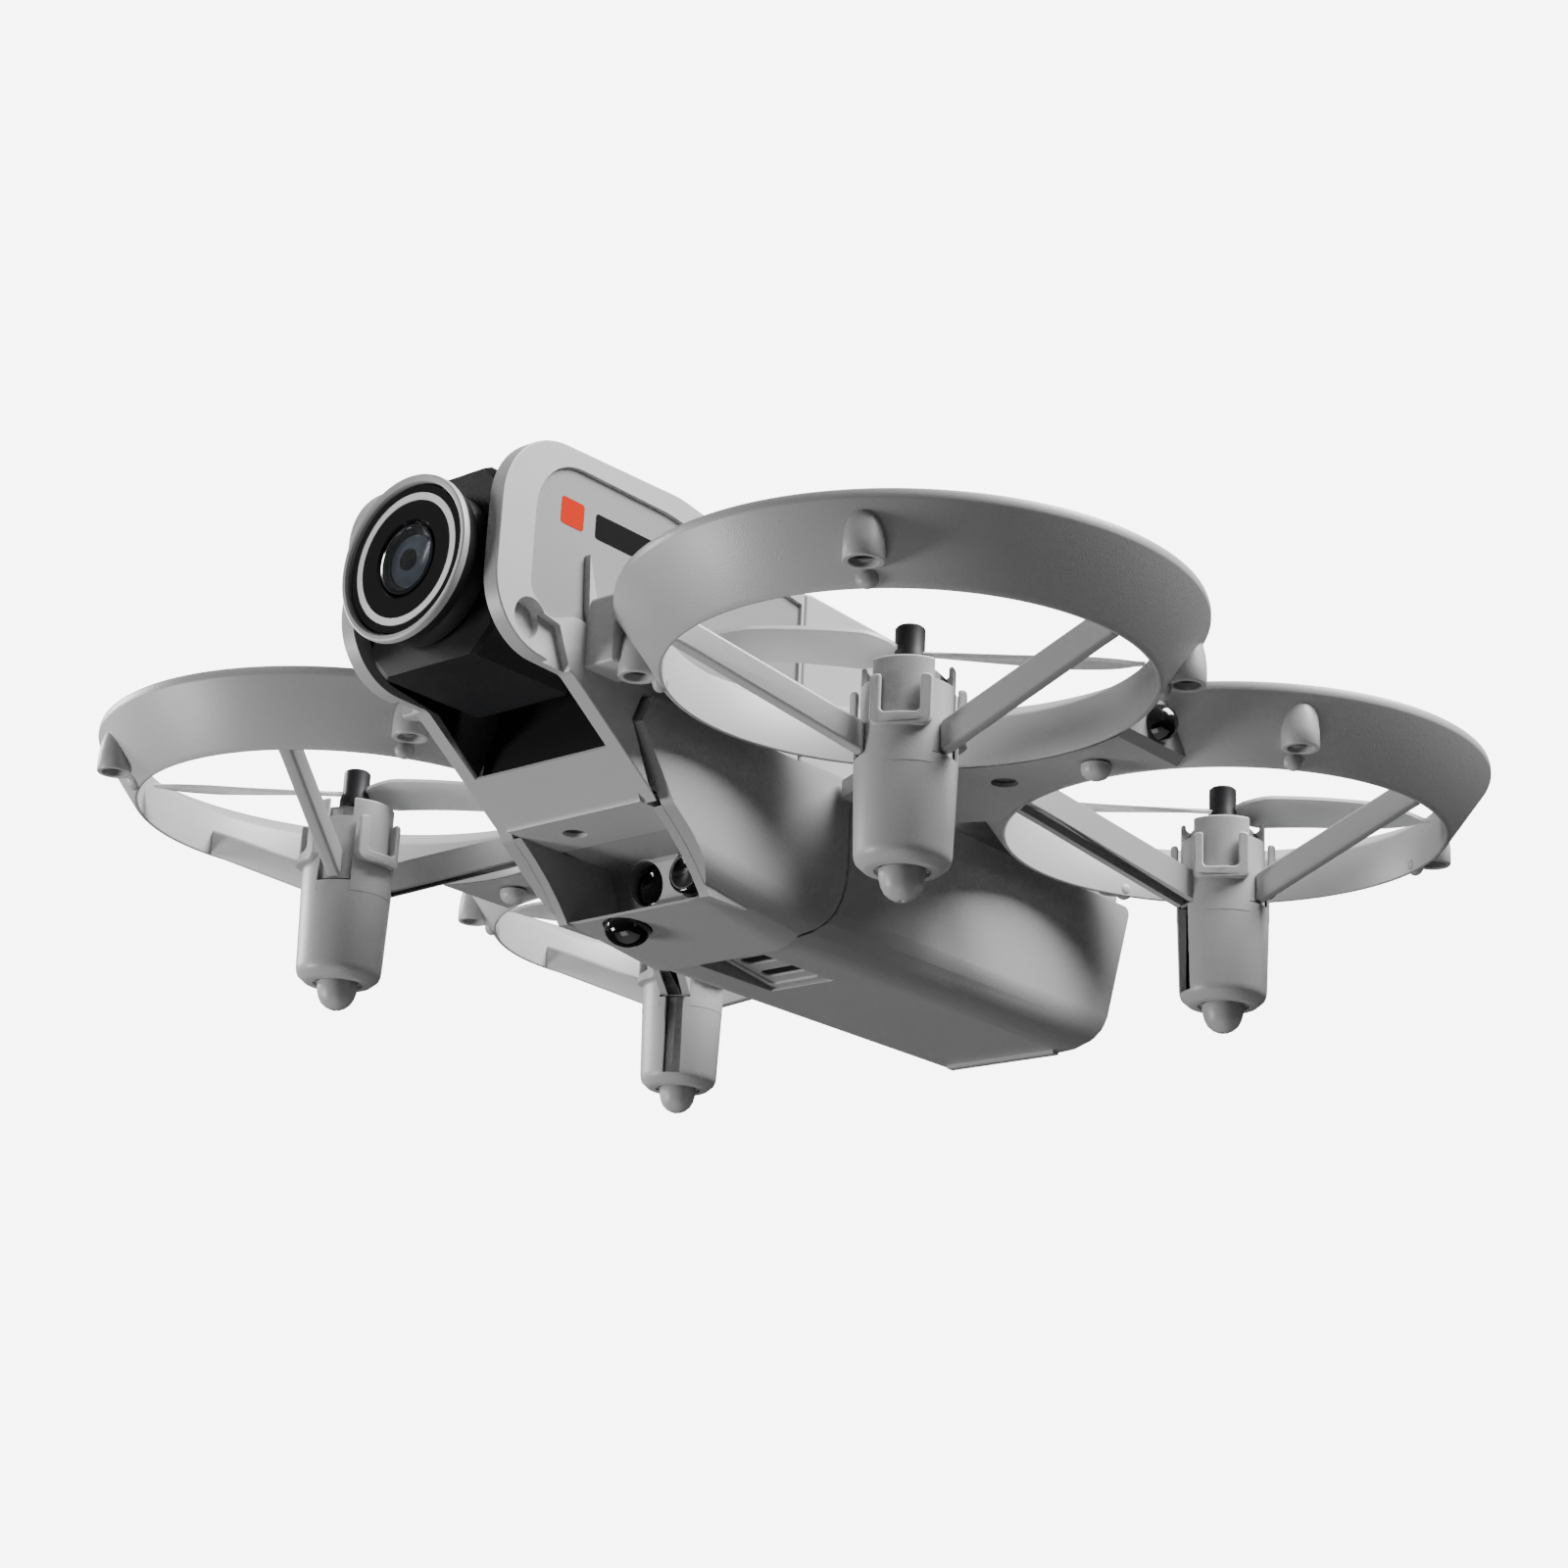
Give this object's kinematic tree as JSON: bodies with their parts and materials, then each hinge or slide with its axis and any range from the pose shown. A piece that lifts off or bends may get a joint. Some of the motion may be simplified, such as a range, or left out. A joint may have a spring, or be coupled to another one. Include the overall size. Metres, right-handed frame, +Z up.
{
  "type": "guarded camera drone",
  "caption": "Small hovering camera drone with ring-guarded rotors, tilting nose camera, slide-out battery and clip-on motor pods.",
  "frame": {"origin": "on the floor under the middle of the whole drone, with the foot tips at z = 0", "axes": "+Z up along the rotor axes, -Y out of the nose camera, +X to the drone's left side"},
  "size_m": [0.1512, 0.129, 0.0526],
  "materials": {
    "shell_grey": "satin",
    "lower_shell_grey": "satin",
    "charcoal": "satin",
    "gloss_black": "gloss",
    "white_accent": "satin",
    "lens_glass": "coated",
    "blade_white": "satin",
    "motor_steel": "plain",
    "screw_steel": "plain",
    "board_green": "satin",
    "cell_wrap": "satin",
    "contact_brass": "plain"
  },
  "bodies": {
    "airframe": {"duct_front_left": "shell_grey", "duct_front_right": "shell_grey", "duct_rear_left": "shell_grey", "duct_rear_right": "shell_grey", "guard_rim_front_left": "shell_grey", "guard_rim_front_right": "shell_grey", "guard_rim_rear_left": "shell_grey", "guard_rim_rear_right": "shell_grey", "motor_pod_front_left": "shell_grey", "motor_pod_front_right": "shell_grey", "motor_pod_rear_left": "shell_grey", "motor_pod_rear_right": "shell_grey", "foot_front_left": "shell_grey", "foot_front_right": "shell_grey", "foot_rear_left": "shell_grey", "foot_rear_right": "shell_grey", "motor_can_front_left": "motor_steel", "motor_can_front_right": "motor_steel", "motor_can_rear_left": "motor_steel", "motor_can_rear_right": "motor_steel", "front_cover": "shell_grey", "rear_cover": "shell_grey", "belly_shell": "lower_shell_grey", "distance_sensor_left": "gloss_black", "distance_sensor_right": "gloss_black", "flow_camera": "gloss_black", "nose_screw": "screw_steel", "tilt_pin_left": "screw_steel", "tilt_pin_right": "screw_steel", "bridge_left": "lower_shell_grey", "bridge_right": "lower_shell_grey", "nub_left": "shell_grey", "nub_right": "shell_grey", "bridge_screw_left": "screw_steel", "bridge_screw_right": "screw_steel", "marker_light_left": "gloss_black", "marker_light_right": "gloss_black", "centre_frame": "lower_shell_grey", "flight_board": "board_green", "battery_contacts": "contact_brass"},
    "rotor_front_left": {"propeller_front_left": "blade_white", "motor_shaft_front_left": "screw_steel"},
    "rotor_front_right": {"propeller_front_right": "blade_white", "motor_shaft_front_right": "screw_steel"},
    "rotor_rear_left": {"propeller_rear_left": "blade_white", "motor_shaft_rear_left": "screw_steel"},
    "rotor_rear_right": {"propeller_rear_right": "blade_white", "motor_shaft_rear_right": "screw_steel"},
    "camera": {"camera_housing": "charcoal", "lens_barrel": "charcoal", "lens_bezel": "shell_grey", "lens_face": "gloss_black", "accent_ring": "white_accent", "lens_glass": "lens_glass", "image_sensor_board": "board_green"},
    "battery": {"battery_case": "lower_shell_grey", "battery_cell": "cell_wrap"},
    "latch": {"battery_latch": "lower_shell_grey"},
    "button": {"power_button": "shell_grey"}
  },
  "joints": [
    {"name": "rotor_front_left_spin", "type": "hinge", "parent": "airframe", "child": "rotor_front_left", "pos_m": [0.0436, -0.03002, 0.0278], "axis": [0, 0, 1], "continuous": true},
    {"name": "rotor_front_right_spin", "type": "hinge", "parent": "airframe", "child": "rotor_front_right", "pos_m": [-0.0436, -0.03002, 0.0278], "axis": [0, 0, 1], "continuous": true},
    {"name": "rotor_rear_left_spin", "type": "hinge", "parent": "airframe", "child": "rotor_rear_left", "pos_m": [0.0436, 0.03247, 0.0278], "axis": [0, 0, 1], "continuous": true},
    {"name": "rotor_rear_right_spin", "type": "hinge", "parent": "airframe", "child": "rotor_rear_right", "pos_m": [-0.0436, 0.03247, 0.0278], "axis": [0, 0, 1], "continuous": true},
    {"name": "camera_tilt", "type": "hinge", "parent": "airframe", "child": "camera", "pos_m": [0, -0.05128, 0.0371], "axis": [1, 0, 0], "range_deg": [-20, 70]},
    {"name": "battery_slide", "type": "slide", "parent": "airframe", "child": "battery", "axis": [0, 1, 0], "range_m": [0, 0.07]},
    {"name": "latch_press", "type": "slide", "parent": "battery", "child": "latch", "axis": [0, 0, 1], "range_m": [0, 0.0006], "stiffness_N_per_m": 300},
    {"name": "button_press", "type": "slide", "parent": "airframe", "child": "button", "axis": [0, 0, -1], "range_m": [0, 0.0005], "stiffness_N_per_m": 300}
  ]
}
